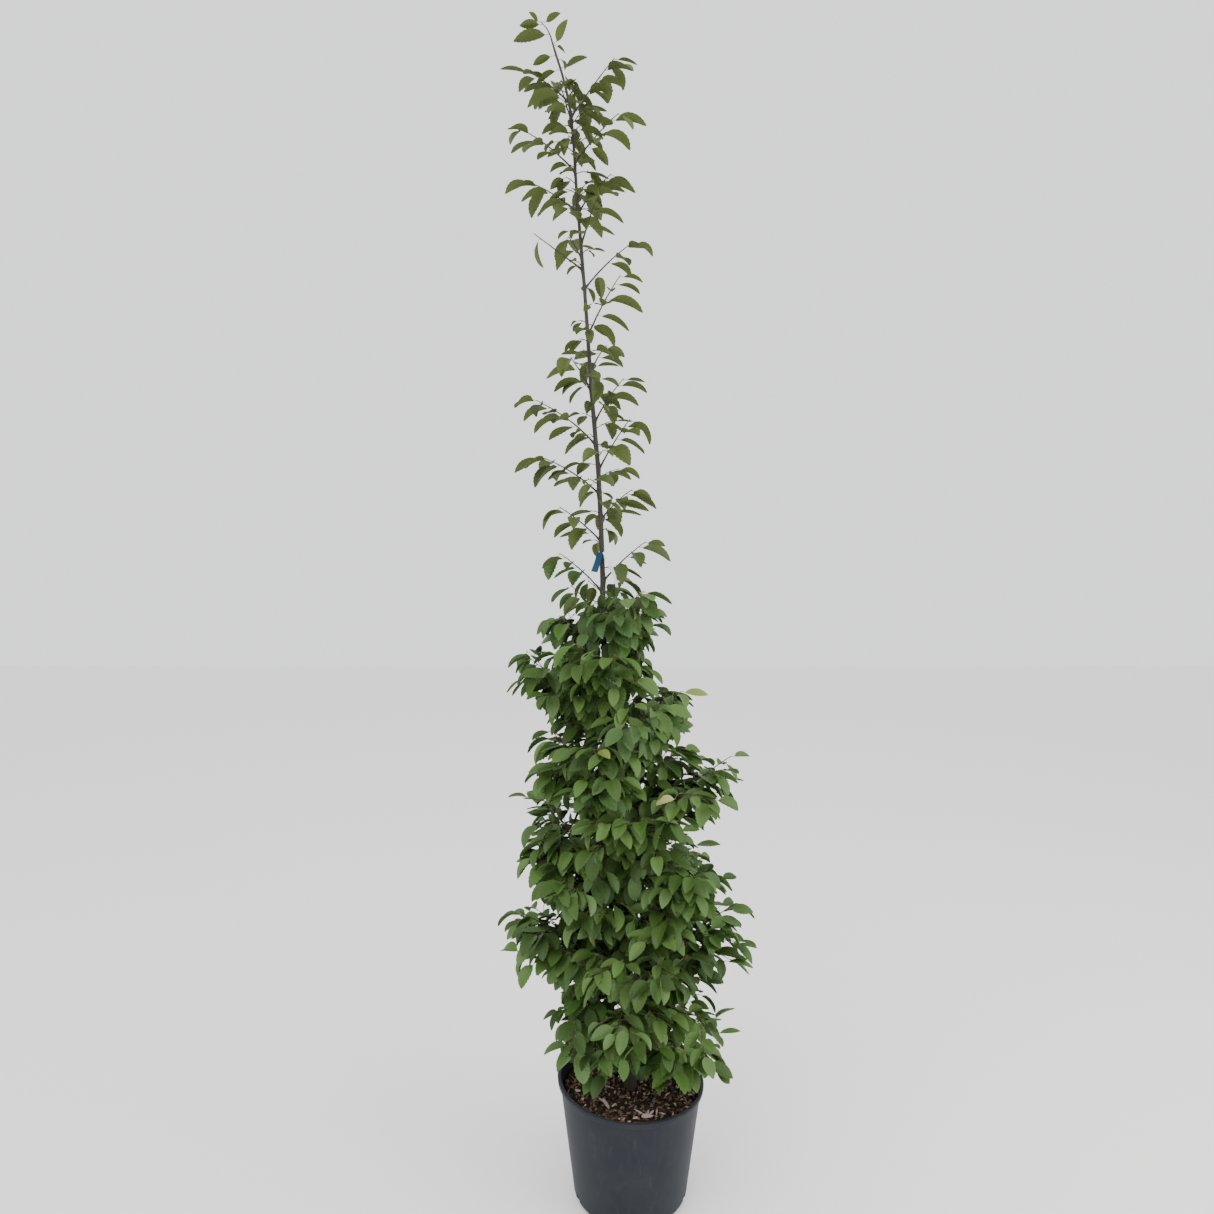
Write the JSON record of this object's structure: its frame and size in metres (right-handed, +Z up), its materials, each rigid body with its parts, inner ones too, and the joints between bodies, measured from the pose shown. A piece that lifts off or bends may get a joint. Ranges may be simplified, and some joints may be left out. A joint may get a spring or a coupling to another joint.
{
  "type": "potted european hornbeam tree",
  "caption": "Young feathered hornbeam in a round tapered nursery pot: a dense leafy lower cone, then an open leader with short side shoots that leans a little to one side.",
  "frame": {"origin": "centre of the pot's flat underside, on the pot's axis", "axes": "+Z up along the pot's axis; -Y towards the camera of the picture; +X to the picture's right, so the leader leans to -X"},
  "size_m": [0.6342, 0.5541, 2.7205],
  "materials": {
    "pot": "satin slate grey moulded polypropylene, lightly scuffed",
    "soil": "rough dark brown bark mulch over potting compost",
    "trunk_bark": "smooth matt grey-brown young bark",
    "bough_bark": "smooth matt grey-brown young bark",
    "label": "plain blue and white plastic film loop, bare",
    "low_leaves": "matt mid-green pleated leaves",
    "shoot_leaves": "matt olive-green pleated leaves"
  },
  "bodies": {
    "root": {"pot": "pot", "soil": "soil", "trunk": "trunk_bark", "label": "label", "bough_01": "bough_bark", "bough_02": "bough_bark", "bough_03": "bough_bark", "bough_04": "bough_bark", "bough_05": "bough_bark", "bough_06": "bough_bark", "bough_07": "bough_bark", "low_mass_01": "low_leaves", "low_mass_02": "low_leaves", "low_mass_03": "low_leaves", "low_mass_04": "low_leaves", "low_mass_05": "low_leaves", "low_mass_06": "low_leaves", "low_mass_07": "low_leaves", "low_mass_08": "low_leaves", "low_mass_09": "low_leaves", "low_mass_10": "low_leaves", "low_mass_11": "low_leaves", "low_mass_12": "low_leaves", "low_mass_13": "low_leaves", "low_mass_14": "low_leaves", "low_mass_15": "low_leaves", "low_mass_16": "low_leaves", "low_mass_17": "low_leaves", "low_mass_18": "low_leaves", "low_mass_19": "low_leaves", "low_mass_20": "low_leaves", "low_mass_21": "low_leaves", "low_mass_22": "low_leaves", "low_mass_23": "low_leaves", "low_mass_24": "low_leaves", "side_shoot_01": "shoot_leaves", "side_shoot_02": "shoot_leaves", "side_shoot_03": "shoot_leaves", "side_shoot_04": "shoot_leaves", "side_shoot_05": "shoot_leaves", "side_shoot_06": "shoot_leaves", "side_shoot_07": "shoot_leaves", "side_shoot_08": "shoot_leaves", "side_shoot_09": "shoot_leaves", "side_shoot_10": "shoot_leaves", "side_shoot_11": "shoot_leaves", "side_shoot_12": "shoot_leaves", "side_shoot_13": "shoot_leaves", "side_shoot_14": "shoot_leaves", "side_shoot_15": "shoot_leaves", "side_shoot_16": "shoot_leaves", "side_shoot_17": "shoot_leaves", "side_shoot_18": "shoot_leaves", "side_shoot_19": "shoot_leaves", "side_shoot_20": "shoot_leaves", "side_shoot_21": "shoot_leaves", "side_shoot_22": "shoot_leaves", "side_shoot_23": "shoot_leaves", "side_shoot_24": "shoot_leaves", "leader_tip": "shoot_leaves"}
  },
  "joints": []
}
